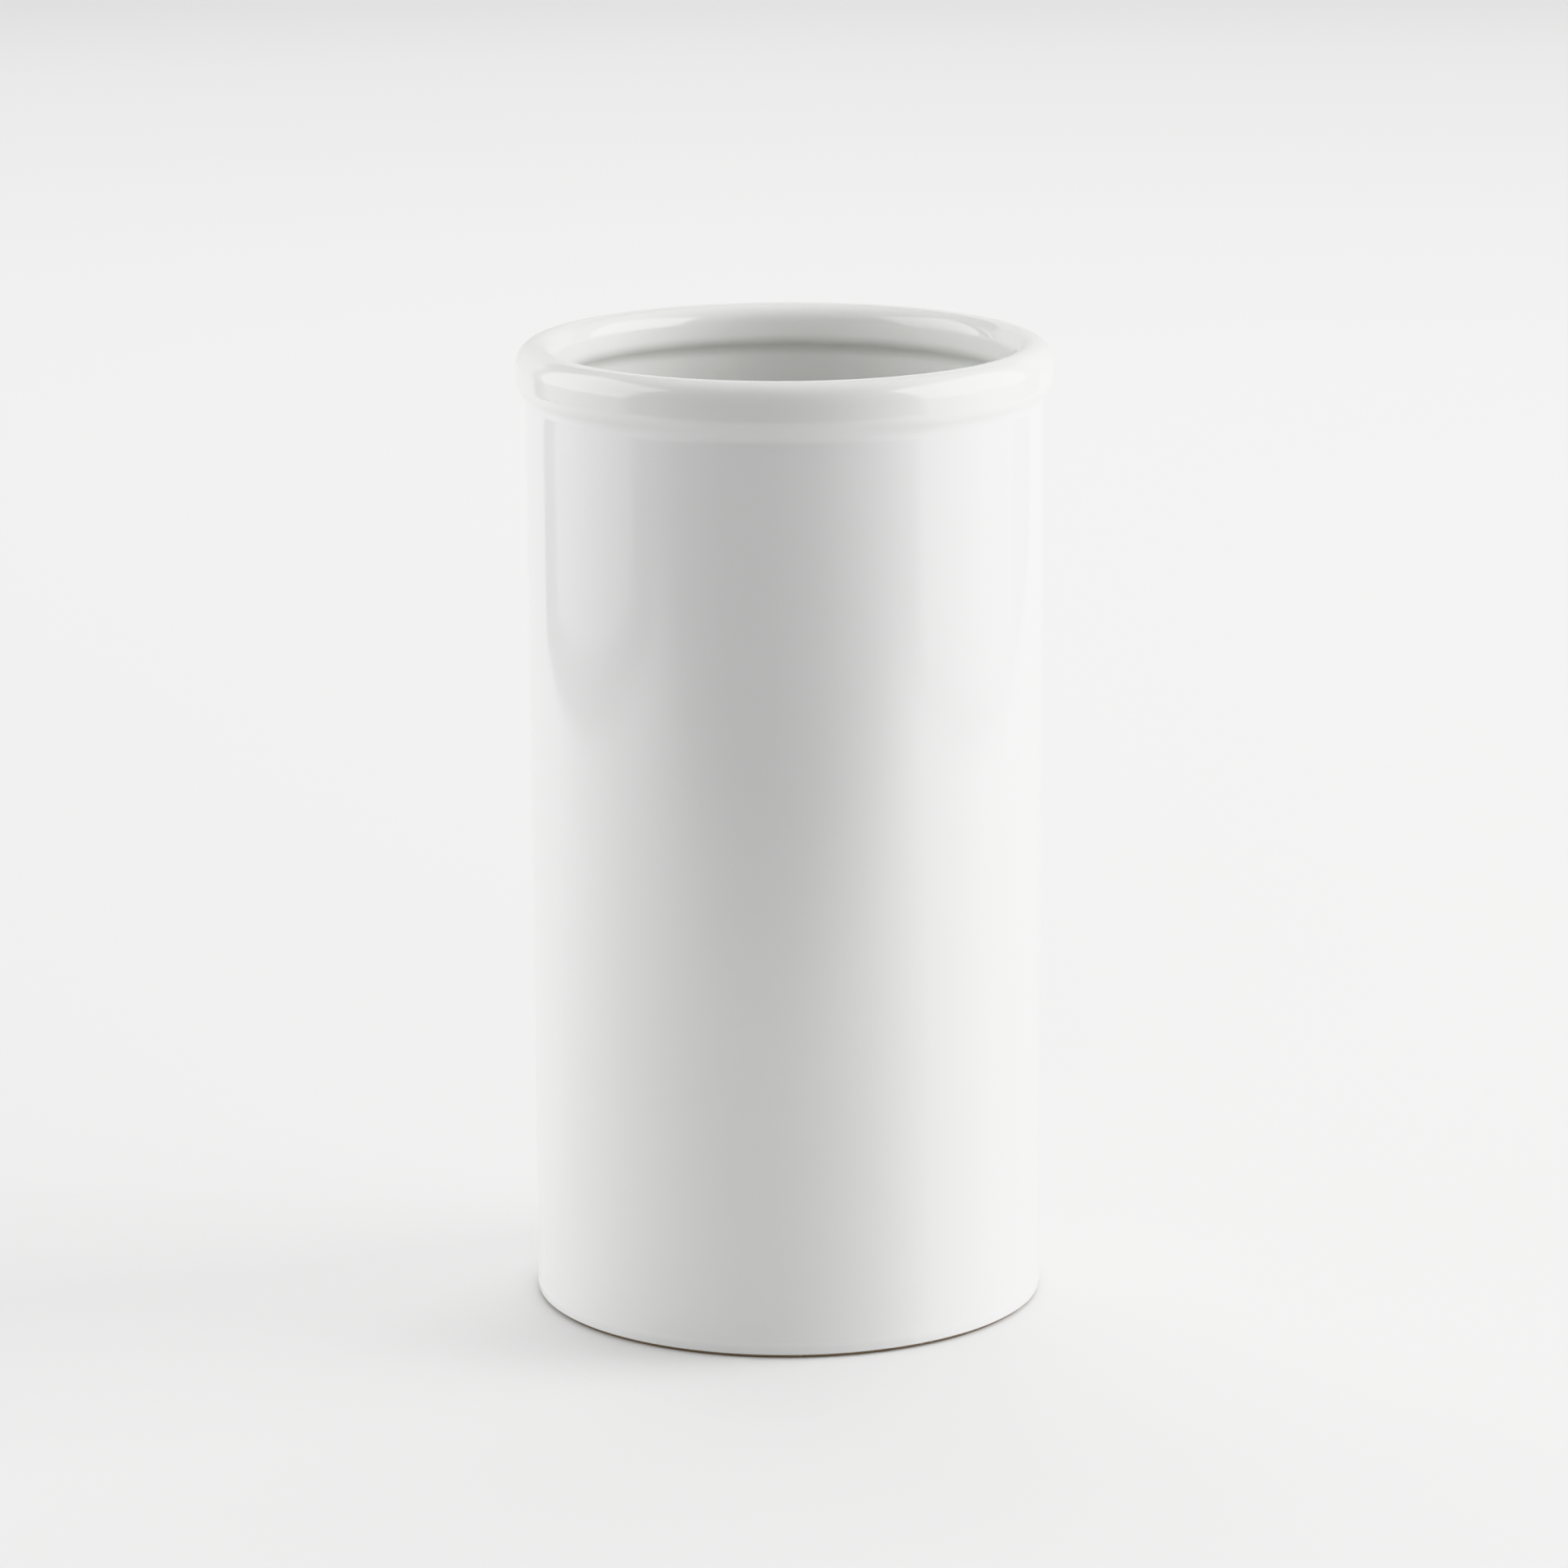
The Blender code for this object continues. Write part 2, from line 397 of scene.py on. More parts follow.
class TurningTree:
    """The Geometry Nodes tree that spins an outline round the axis."""

    NAME = "turning"

    def __init__(self) -> None:
        """Build the tree once for all pieces."""
        self.tree = bpy.data.node_groups.new(self.NAME, "GeometryNodeTree")
        self.tree.is_modifier = True
        self._draw(NodeSheet(self.tree))

    def _draw(self, sheet: NodeSheet) -> None:
        """Draw the tree: a grid of rings, each point taken to its spot and its angle."""
        sheet.take("Outline", "Geometry")
        sheet.take("Facets", "Int")
        sheet.take("Unevenness", "Float")
        sheet.take("Waves", "Float")
        sheet.take("Seed", "Float")
        sheet.take("Pool Spread", "Int")
        sheet.take("Merge", "Float", AXIS_MERGE)
        sheet.take("Finish", "Material")
        sheet.give("Turned", "Geometry")
        given = sheet.add("NodeGroupInput").outputs
        count = sheet.add(
            "GeometryNodeAttributeDomainSize", {"Geometry": given["Outline"]}, component="MESH"
        ).outputs["Point Count"]
        sides = sheet.whole("ADD", given["Facets"], 1)
        rings = sheet.add(
            "GeometryNodeMeshGrid", {"Vertices X": sides, "Vertices Y": count}
        ).outputs["Mesh"]

        index = sheet.add("GeometryNodeInputIndex").outputs[0]
        spot = sheet.whole("MODULO", index, count)
        side = sheet.whole("MODULO", sheet.whole("DIVIDE_FLOOR", index, count), given["Facets"])
        # Clockwise, so that faces turned from an outline that climbs inside and falls outside face out
        angle = sheet.sum("MULTIPLY", sheet.sum("DIVIDE", side, given["Facets"]), -2.0 * math.pi)
        position = sheet.add("GeometryNodeInputPosition").outputs[0]
        sampled = self._sample(sheet, given["Outline"], position, spot, "FLOAT_VECTOR")
        split = sheet.add("ShaderNodeSeparateXYZ", {0: sampled}).outputs
        even = self._turned(sheet, split["X"], angle, split["Z"])
        noise = sheet.add(
            "ShaderNodeTexNoise",
            {"Vector": even, "W": given["Seed"], "Scale": given["Waves"], "Detail": 1.0},
            noise_dimensions="4D",
        ).outputs[0]
        drawn_in = sheet.sum("SUBTRACT", 1.0, sheet.sum("MULTIPLY", given["Unevenness"], noise))
        uneven = self._turned(sheet, sheet.sum("MULTIPLY", split["X"], drawn_in), angle, split["Z"])
        form = sheet.add("GeometryNodeSetPosition", {"Geometry": rings, "Position": uneven}).outputs[0]

        named = sheet.add("GeometryNodeInputNamedAttribute", {"Name": POOL}, data_type="FLOAT").outputs[0]
        blurred = sheet.add(
            "GeometryNodeBlurAttribute",
            {"Value": named, "Iterations": given["Pool Spread"]},
            data_type="FLOAT",
        ).outputs[0]
        pool = self._sample(sheet, given["Outline"], blurred, spot, "FLOAT")
        form = sheet.add(
            "GeometryNodeStoreNamedAttribute",
            {"Geometry": form, "Name": POOL, "Value": pool},
            data_type="FLOAT",
        ).outputs[0]
        form = sheet.add(
            "GeometryNodeMergeByDistance", {"Geometry": form, "Distance": given["Merge"]}
        ).outputs[0]
        form = sheet.add("GeometryNodeSetShadeSmooth", {"Geometry": form}).outputs[0]
        form = sheet.add("GeometryNodeRealizeInstances", {"Geometry": form}).outputs[0]
        form = sheet.add(
            "GeometryNodeSetMaterial", {"Geometry": form, "Material": given["Finish"]}
        ).outputs[0]
        sheet.add("NodeGroupOutput", {"Turned": form})

    @staticmethod
    def _sample(sheet: NodeSheet, outline: bpy.types.NodeSocket, value: bpy.types.NodeSocket,
                index: bpy.types.NodeSocket, kind: str) -> bpy.types.NodeSocket:
        """A value read from one spot of the outline."""
        return sheet.add(
            "GeometryNodeSampleIndex", {"Geometry": outline, "Value": value, "Index": index}, data_type=kind
        ).outputs[0]

    @staticmethod
    def _turned(sheet: NodeSheet, radius: bpy.types.NodeSocket, angle: bpy.types.NodeSocket,
                height: bpy.types.NodeSocket) -> bpy.types.NodeSocket:
        """A place at a radius, an angle and a height."""
        across = sheet.sum("MULTIPLY", radius, sheet.sum("COSINE", angle))
        away = sheet.sum("MULTIPLY", radius, sheet.sum("SINE", angle))
        return sheet.add("ShaderNodeCombineXYZ", {"X": across, "Y": away, "Z": height}).outputs[0]

    def spin(self, name: str, outline: Sequence[Spot], settings: dict[str, object]) -> bpy.types.Object:
        """Spin an outline into a plain mesh object.

        Args:
            name: The piece's name.
            outline: Its outline, closed by its own last spot or by the axis.
            settings: Values of the tree's inputs, by name.

        Returns:
            The piece, linked to the scene.
        """
        points = [(spot.radius, 0.0, spot.height) for spot in outline]
        edges = [(index, index + 1) for index in range(len(points) - 1)]
        profile = bpy.data.meshes.new(name + "_outline")
        profile.from_pydata(points, edges, [])
        pool = profile.attributes.new(POOL, "FLOAT", "POINT")
        pool.data.foreach_set("value", [spot.pool for spot in outline])
        piece = bpy.data.objects.new(name, profile)
        bpy.context.scene.collection.objects.link(piece)
        modifier = piece.modifiers.new(self.NAME, "NODES")
        modifier.node_group = self.tree
        sockets = {item.name: item.identifier for item in self.tree.interface.items_tree}
        for key, value in settings.items():
            modifier[sockets[key]] = value
        graph = bpy.context.evaluated_depsgraph_get()
        turned = bpy.data.meshes.new_from_object(piece.evaluated_get(graph))
        turned.name = name
        piece.modifiers.remove(modifier)
        piece.data = turned
        bpy.data.meshes.remove(profile)
        return piece


class GlazeWaves:
    """Shader group: the fine skin of a fired glaze, with its slow shading, its gloss and its ripple."""

    NAME = "glaze_waves"
    SHADE_DETAIL = 3.0
    RIPPLE_DETAIL = 1.0

    def __init__(self) -> None:
        """Build the group once for all glazes."""
        self.tree = bpy.data.node_groups.new(self.NAME, "ShaderNodeTree")
        sheet = NodeSheet(self.tree)
        sheet.take("Shade Scale", "Float")
        sheet.take("Ripple Scale", "Float")
        sheet.give("Shade", "Float")
        sheet.give("Ripple", "Float")
        given = sheet.add("NodeGroupInput").outputs
        place = sheet.add("ShaderNodeTexCoord").outputs["Object"]
        shade = sheet.add(
            "ShaderNodeTexNoise",
            {"Vector": place, "Scale": given["Shade Scale"], "Detail": self.SHADE_DETAIL},
        ).outputs[0]
        ripple = sheet.add(
            "ShaderNodeTexNoise",
            {"Vector": place, "Scale": given["Ripple Scale"], "Detail": self.RIPPLE_DETAIL},
        ).outputs[0]
        sheet.add("NodeGroupOutput", {"Shade": shade, "Ripple": ripple})


class KilnSpecks:
    """Shader group: sparse round specks, such as pinholes in a glaze or grog in clay."""

    NAME = "kiln_specks"

    def __init__(self) -> None:
        """Build the group once for glazes and clay."""
        self.tree = bpy.data.node_groups.new(self.NAME, "ShaderNodeTree")
        sheet = NodeSheet(self.tree)
        sheet.take("Scale", "Float")
        sheet.take("Share", "Float")
        sheet.take("Size", "Float")
        sheet.give("Mask", "Float")
        given = sheet.add("NodeGroupInput").outputs
        place = sheet.add("ShaderNodeTexCoord").outputs["Object"]
        cells = sheet.add("ShaderNodeTexVoronoi", {"Vector": place, "Scale": given["Scale"]}).outputs
        draw = sheet.add("ShaderNodeSeparateColor", {0: cells["Color"]}).outputs[0]
        chosen = sheet.sum("LESS_THAN", draw, given["Share"])
        edge = sheet.add("ShaderNodeMapRange", {
            "Value": cells["Distance"], "From Min": given["Size"], "From Max": 0.0,
        }, interpolation_type="SMOOTHSTEP").outputs["Result"]
        sheet.add("NodeGroupOutput", {"Mask": sheet.sum("MULTIPLY", edge, chosen)})


@dataclass(frozen=True)
class Kiln:
    """The shader groups that the finishes share."""

    waves: GlazeWaves
    specks: KilnSpecks

    def group(self, sheet: NodeSheet, tree: bpy.types.NodeTree, values: dict[str, float]) -> bpy.types.Node:
        """Place a shared group in a material.

        Args:
            sheet: The material's nodes.
            tree: The group.
            values: Its inputs, by name.

        Returns:
            The group's node.
        """
        node = sheet.add("ShaderNodeGroup")
        node.node_tree = tree
        for name, value in values.items():
            node.inputs[name].default_value = value
        return node


def blank_material(name: str) -> tuple[bpy.types.Material, NodeSheet, bpy.types.Node]:
    """A new material.

    Args:
        name: The finish's name.

    Returns:
        The material, its nodes and its Principled shader.
    """
    material = bpy.data.materials.new(name)
    material.use_nodes = True
    return material, NodeSheet(material.node_tree), material.node_tree.nodes["Principled BSDF"]


@dataclass(frozen=True)
class GlazeFinish:
    """An opaque white gloss glaze.

    Attributes:
        name: Name of the material.
        body: Colour of the glaze on a plain wall.
        thin: Colour where it breaks thin over an edge.
        deep: Colour where it gathers.
        gloss: Roughness where the glaze is smoothest.
        haze: Added roughness where it is dullest.
        shade: How far the slow shading goes towards the deep colour.
        ripple: Height of the fine ripple.
        pits: Share of the cells that hold a pinhole.
        pit_cells: Cells for pinholes in a metre.
        pit_size: Size of a pinhole in its cell.
        refraction: Index of refraction.
        shade_waves: Waves of the slow shading in a metre.
        ripple_waves: Waves of the fine ripple in a metre.
        thin_span: Pooling at which the glaze starts to look thin, and is thinnest.
        deep_span: Pooling at which it starts to look deep, and is deepest.
        shade_span: Part of the slow shading that shows in the colour.
        haze_span: Part of the slow shading that shows in the gloss.
    """

    name: str
    body: Colour
    thin: Colour
    deep: Colour
    gloss: float = 0.06
    haze: float = 0.04
    shade: float = 0.12
    ripple: float = 0.000004
    pits: float = 0.012
    pit_cells: float = 260.0
    pit_size: float = 0.16
    refraction: float = 1.62
    shade_waves: float = 18.0
    ripple_waves: float = 420.0
    thin_span: tuple[float, float] = (-0.15, -1.0)
    deep_span: tuple[float, float] = (0.1, 1.0)
    shade_span: tuple[float, float] = (0.35, 0.7)
    haze_span: tuple[float, float] = (0.3, 0.7)

    def material(self, kiln: Kiln) -> bpy.types.Material:
        """Build the material.

        Args:
            kiln: The shared shader groups.

        Returns:
            The glaze's material.
        """
        material, sheet, shader = blank_material(self.name)
        waves = kiln.group(
            sheet, kiln.waves.tree, {"Shade Scale": self.shade_waves, "Ripple Scale": self.ripple_waves}
        ).outputs
        pits = kiln.group(
            sheet, kiln.specks.tree, {"Scale": self.pit_cells, "Share": self.pits, "Size": self.pit_size}
        ).outputs[0]
        pool = sheet.add("ShaderNodeAttribute", attribute_name=POOL).outputs["Fac"]
        thin = sheet.span(pool, *self.thin_span, 0.0, 1.0)
        deep = sheet.span(pool, *self.deep_span, 0.0, 1.0)
        slow = sheet.span(waves["Shade"], *self.shade_span, 0.0, self.shade)
        colour = sheet.mix(thin, self.body, self.thin)
        colour = sheet.mix(sheet.sum("MAXIMUM", deep, slow), colour, self.deep)
        sheet.feed(shader.inputs["Base Color"], colour)
        rough = sheet.span(waves["Shade"], *self.haze_span, self.gloss, self.gloss + self.haze)
        sheet.feed(shader.inputs["Roughness"], rough)
        shader.inputs["IOR"].default_value = self.refraction
        height = sheet.sum("SUBTRACT", waves["Ripple"], pits)
        bump = sheet.add("ShaderNodeBump", {"Height": height, "Distance": self.ripple, "Strength": 1.0})
        sheet.feed(shader.inputs["Normal"], bump.outputs["Normal"])
        return material


@dataclass(frozen=True)
class ClayFinish:
    """Bare fired clay: matt, gritty and a little uneven in colour.

    Attributes:
        name: Name of the material.
        pale: Colour of its light parts.
        dark: Colour of its toasted parts.
        grog: Colour of its coarse grains.
        iron: Colour of its iron specks.
        roughness: Least and greatest roughness.
        grit: Height of its grain.
        shade_waves: Waves of the toasting in a metre.
        grain_waves: Waves of the fine grain in a metre.
        noise_span: Part of the toasting and of the grain that shows.
        grog_cells: Cells for coarse grains in a metre, the share that hold one, and its size there.
        grog_tint: How far a coarse grain takes its own colour.
        grog_rise: How far it stands out, beside the fine grain.
        iron_cells: Cells for iron specks in a metre, the share that hold one, and its size there.
    """

    name: str
    pale: Colour
    dark: Colour
    grog: Colour
    iron: Colour
    roughness: tuple[float, float] = (0.78, 0.95)
    grit: float = 0.00006
    shade_waves: float = 60.0
    grain_waves: float = 2600.0
    noise_span: tuple[float, float] = (0.3, 0.7)
    grog_cells: tuple[float, float, float] = (900.0, 0.3, 0.45)
    grog_tint: float = 0.5
    grog_rise: float = 0.6
    iron_cells: tuple[float, float, float] = (420.0, 0.08, 0.25)

    def material(self, kiln: Kiln) -> bpy.types.Material:
        """Build the material.

        Args:
            kiln: The shared shader groups.

        Returns:
            The clay's material.
        """
        material, sheet, shader = blank_material(self.name)
        waves = kiln.group(
            sheet, kiln.waves.tree, {"Shade Scale": self.shade_waves, "Ripple Scale": self.grain_waves}
        ).outputs
        inputs = ("Scale", "Share", "Size")
        grog = kiln.group(sheet, kiln.specks.tree, dict(zip(inputs, self.grog_cells))).outputs[0]
        iron = kiln.group(sheet, kiln.specks.tree, dict(zip(inputs, self.iron_cells))).outputs[0]
        toasted = sheet.span(waves["Shade"], *self.noise_span, 0.0, 1.0)
        colour = sheet.mix(toasted, self.pale, self.dark)
        colour = sheet.mix(sheet.sum("MULTIPLY", grog, self.grog_tint), colour, self.grog)
        colour = sheet.mix(iron, colour, self.iron)
        sheet.feed(shader.inputs["Base Color"], colour)
        rough = sheet.span(waves["Ripple"], *self.noise_span, *self.roughness)
        sheet.feed(shader.inputs["Roughness"], rough)
        height = sheet.sum("ADD", waves["Ripple"], sheet.sum("MULTIPLY", grog, self.grog_rise))
        bump = sheet.add("ShaderNodeBump", {"Height": height, "Distance": self.grit, "Strength": 1.0})
        sheet.feed(shader.inputs["Normal"], bump.outputs["Normal"])
        return material


@dataclass(frozen=True)
class Wheel:
    """How every piece of the vase is turned.

    Attributes:
        tree: The tree that spins outlines.
        facets: Facets round the axis.
        unevenness: Largest share by which the hand-finished form draws in.
        waves: Waves of that unevenness in a metre.
        seed: Seed of those waves.
        pool_spread: Steps over which pooled and thin glaze blend.
        crease: Angle past which an edge stays sharp.
    """

    tree: TurningTree
    facets: int = 240
    unevenness: float = 0.0012
    waves: float = 22.0
    seed: float = 4.0
    pool_spread: int = 6
    crease: float = math.radians(32.0)

    def throw(self, name: str, outline: Sequence[Spot], finish: bpy.types.Material) -> bpy.types.Object:
        """Turn one piece.

        Args:
            name: The piece's name.
            outline: Its outline.
            finish: Its material.

        Returns:
            The finished mesh object.
        """
        piece = self.tree.spin(name, outline, {
            "Facets": self.facets,
            "Unevenness": self.unevenness,
            "Waves": self.waves,
            "Seed": self.seed,
            "Pool Spread": self.pool_spread,
            "Finish": finish,
        })
        piece.data.set_sharp_from_angle(angle=self.crease)
        return piece


@dataclass
class TurnedPiece:
    """A piece of the vase that takes the place of one of the frame's solids.

    Attributes:
        name: The piece's name.
        node: The frame's solid that it stands for.
        slot: The record's slot for its finish.
    """

    name: str
    node: str
    slot: str

    def outline(self) -> list[Spot]:
        """The piece's closed outline."""
        raise NotImplementedError

    def build(self, wheel: Wheel, finish: bpy.types.Material) -> bpy.types.Object:
        """Turn the piece on the wheel."""
        return wheel.throw(self.name, self.outline(), finish)

    def dress(self, piece: bpy.types.Object) -> None:
        """Put the piece in the solid's place."""
        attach(piece, VASE_BODY)
        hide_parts(self.node)


@dataclass
class ClayBody(TurnedPiece):
    """The fired clay body under the coats, bare at its foot ring.

    Attributes:
        form: The vase's sizes.
    """

    form: VaseForm

    def outline(self) -> list[Spot]:
        """The clay under the coats, the bare foot ring and the clay over the recess."""
        depth = self.form.coat_depth
        upper = self.form.inside() + self.form.outside()[1:]
        clay = [spot.moved(depth) for spot in upper]
        recess = [spot.moved(depth) for spot in self.form.underside()]
        return self.form.pen.joined([clay, self.form.foot(), recess])


@dataclass
class GlazeCoat(TurnedPiece):
    """One coat of glaze.

    Attributes:
        skin: Its finished surface.
        start: How it ends where the skin starts.
        end: How it ends where the skin ends.
        depth: Its thickness, down to the clay.
        bead_swell: How far the glaze swells before a bead.
        bead_reach: Length over which it swells.
        bead_pool: How far the swelling gathers glaze.
        edge_pool: How thin the glaze breaks round the bead.
        bead_steps: Steps along the swelling and round the bead.
    """

    skin: list[Spot]
    start: Edge
    end: Edge
    depth: float
    bead_swell: float = 0.00012
    bead_reach: float = 0.0016
    bead_pool: float = 0.6
    edge_pool: float = -1.0
    bead_steps: int = 7

    def outline(self) -> list[Spot]:
        """The skin and the back of the coat, joined by its beads or by the axis."""
        skin = self._swollen(self.skin[::-1], self.start)[::-1]
        skin = self._swollen(skin, self.end)
        back = [spot.moved(self.depth) for spot in reversed(skin)]
        first = self._bead(skin[0], self.start, 1.0)[::-1]
        last = self._bead(skin[-1], self.end, -1.0)
        if self.end is Edge.AXIS:
            return back + first + skin
        if self.start is Edge.AXIS:
            return skin + last + back
        return skin + last + back + first + skin[:1]

    def _swollen(self, skin: list[Spot], edge: Edge) -> list[Spot]:
        """Swell the last stretch of a skin that stops in a bead, and leave room for the bead's round."""
        if edge is not Edge.BEAD:
            return skin
        last = skin[-1]
        end = last.toward(skin[-2], self.depth / 2.0 / last.gap(skin[-2]))
        kept = [spot for spot in skin if spot.gap(last) > self.bead_reach]
        swelling = []
        for step in range(1, self.bead_steps + 1):
            share = step / self.bead_steps
            spot = kept[-1].toward(end, share)
            rise = math.sin(math.pi * share) ** 2
            swollen = spot.moved(-self.bead_swell * rise)
            swelling.append(replace(swollen, pool=spot.pool + self.bead_pool * rise))
        return kept + swelling

    def _bead(self, spot: Spot, edge: Edge, way: float) -> list[Spot]:
        """The half round of a bead, from the finished surface to the clay.

        Args:
            spot: Where the finished surface stops.
            edge: How the coat ends there.
            way: 1 or -1, to put the round on the side where the coat has no more skin.

        Returns:
            The spots between the surface and the clay.
        """
        if edge is not Edge.BEAD:
            return []
        bend = self.depth / 2.0
        middle = spot.moved(bend)
        round_spots = []
        for step in range(1, self.bead_steps):
            angle = math.pi * step / self.bead_steps
            across = bend * math.cos(angle)
            along = way * bend * math.sin(angle)
            round_spots.append(Spot(
                middle.radius + across * spot.out - along * spot.up,
                middle.height + across * spot.up + along * spot.out,
                spot.out, spot.up, self.edge_pool,
            ))
        return round_spots


@dataclass(frozen=True)
class Lamp:
    """A soft rectangular lamp.

    Attributes:
        name: The lamp's name.
        at: Its centre.
        aim: The point that it faces.
        size: Its width and height.
        power: Its power in watts.
        lights: What it lights.
    """

    name: str
    at: Place
    aim: Place
    size: tuple[float, float]
    power: float
    lights: Lights


@dataclass(frozen=True)
class Card:
    """A dark card out of the camera's sight, which deepens what the glaze mirrors.

    Attributes:
        name: The card's name.
        at: Its centre.
        aim: The point that it faces.
        size: Its width and height.
    """

    name: str
    at: Place
    aim: Place
    size: tuple[float, float]


@dataclass(frozen=True)
class Viewpoint:
    """The camera's place and lens.

    Attributes:
        at: Its place.
        look_down: Angle by which it looks down.
        roll: Angle by which it leans sideways.
        sensor: Width of its sensor, in millimetres.
        lens: Focal length, in millimetres.
    """

    at: Place = (-0.000479, -1.3185, 0.4117)
    look_down: float = math.radians(12.995)
    roll: float = math.radians(-0.283)
    sensor: float = 36.0
    lens: float = 150.43

    def set_up(self) -> None:
        """Make the scene's camera."""
        data = bpy.data.cameras.new("camera")
        data.sensor_width = self.sensor
        data.lens = self.lens
        camera = bpy.data.objects.new("camera", data)
        bpy.context.scene.collection.objects.link(camera)
        tilt = Euler((math.radians(90.0) - self.look_down, 0.0, 0.0)).to_matrix()
        turn = tilt @ Matrix.Rotation(self.roll, 3, "Z")
        camera.location = self.at
        camera.rotation_euler = turn.to_euler()
        bpy.context.scene.camera = camera


LAMPS = (
    Lamp("left_panel", (-0.4555, 0.0145, 0.4030), (0.0193, -0.0419, 0.2568), (0.528, 0.54), 1.56,
         Lights.VASE_ONLY),
    Lamp("left_skirt", (-0.5513, 0.0259, 0.0874), (-0.0765, -0.0305, -0.0588), (0.528, 0.12), 0.10,
         Lights.VASE_ONLY),
    Lamp("right_panel", (0.4683, -0.0192, 0.3980), (-0.0188, -0.0092, 0.2855), (0.613, 0.54), 2.78,
         Lights.VASE_ONLY),
    Lamp("right_skirt", (0.5425, -0.0207, 0.0764), (0.0554, -0.0107, -0.0361), (0.613, 0.12), 0.15,
         Lights.VASE_ONLY),
    Lamp("left_wall", (-2.2, 0.6, 0.9), (0.0, 0.3, 0.9), (2.4, 1.8), 22.1, Lights.VASE_ONLY),
    Lamp("right_wall", (2.2, 0.6, 0.9), (0.0, 0.3, 0.9), (2.4, 1.8), 35.5, Lights.VASE_ONLY),
    Lamp("ceiling", (0.0, 1.2, 1.64), (0.0, 0.3, 0.0), (2.0, 1.0), 8.4, Lights.UNMIRRORED),
    Lamp("back_top", (0.0, 0.9, 1.5), (0.0, 0.0, 0.1), (1.2, 0.8), 3.7, Lights.UNMIRRORED),
    Lamp("overhead", (0.0, 0.1, 1.7), (0.0, 0.0, 0.0), (0.5, 0.5), 0.6, Lights.UNMIRRORED),
    Lamp("left_wash", (-1.2, -0.3, 0.8), (0.0, 0.0, 0.1), (1.0, 1.0), 3.0, Lights.UNMIRRORED),
    Lamp("right_wash", (1.2, -0.3, 0.8), (0.0, 0.0, 0.1), (1.0, 1.0), 1.3, Lights.UNMIRRORED),
    Lamp("right_front", (0.9, -0.9, 0.7), (0.0, 0.0, 0.1), (0.8, 0.8), 1.3, Lights.UNMIRRORED),
    Lamp("right_high", (0.8, 0.0, 1.0), (0.0, 0.0, 0.15), (0.7, 0.7), 0.9, Lights.UNMIRRORED),
    Lamp("front_low", (0.0, -1.6, 0.5), (0.0, 0.0, 0.2), (1.2, 0.3), 2.1, Lights.UNMIRRORED),
    Lamp("back_wall", (0.0, 3.2, 1.0), (0.0, 0.0, 1.0), (6.4, 2.0), 24.2, Lights.MIRRORED_ONLY),
    Lamp("right_shade", (1.5, 0.2, 1.0), (0.0, 0.0, 0.0), (0.9, 0.9), 8.3, Lights.FLOOR_ONLY),
    Lamp("right_low_shade", (1.2, 0.0, 0.5), (0.0, 0.0, 0.0), (0.9, 0.6), 5.0, Lights.FLOOR_ONLY),
    Lamp("front_shade", (0.0, -1.2, 0.9), (0.0, -0.25, 0.0), (1.0, 0.5), 1.0, Lights.FLOOR_ONLY),
    Lamp("floor_far", (0.9, 2.0, 1.0), (0.9, 2.0, 0.0), (5.0, 2.2), 20.4, Lights.FLOOR_UNSHADED),
    Lamp("floor_all", (0.0, 0.0, 2.2), (0.0, 0.0, 0.0), (9.0, 9.0), 159.0, Lights.FLOOR_UNSHADED),
)
CARDS = (
    Card("left_backing", (-0.59, 0.04, 0.35), (0.403, -0.078, 0.35), (0.86, 0.70)),
    Card("right_backing", (0.58, 0.067, 0.35), (0.0, 0.067, 0.35), (1.086, 0.70)),
)


